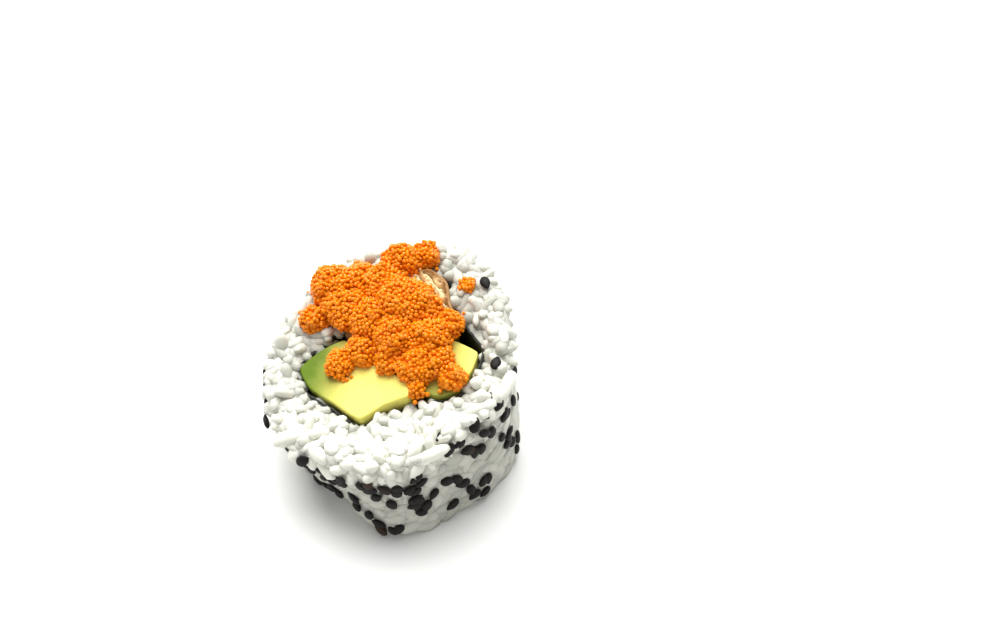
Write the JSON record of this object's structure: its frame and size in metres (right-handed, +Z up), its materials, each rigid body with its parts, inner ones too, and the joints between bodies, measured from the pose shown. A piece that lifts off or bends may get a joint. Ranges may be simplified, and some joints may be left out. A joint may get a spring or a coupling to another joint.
{
  "type": "uramaki roll piece",
  "caption": "Cut piece of an inside-out sushi roll: rice ring with black sesame, nori, avocado and battered prawn, topped with a heap of orange fish roe.",
  "frame": {"origin": "on the base, under the middle of the bounding box", "axes": "+Z up, along the roll's axis; +Y from the low front of the slanted cut towards its tall back; +X to the right"},
  "size_m": [0.0526, 0.0556, 0.0311],
  "materials": {
    "rice": "moist sticky cooked rice",
    "nori": "dull dark seaweed sheet",
    "avocado": "smooth moist flesh, yellow to green",
    "prawn": "flaky cream flesh with a browned edge",
    "roe": "glossy translucent orange eggs"
  },
  "bodies": {
    "root": {"rice": "rice", "nori": "nori", "avocado_left": "avocado", "avocado_right": "avocado", "battered_prawn": "prawn", "roe": "roe"}
  },
  "joints": []
}
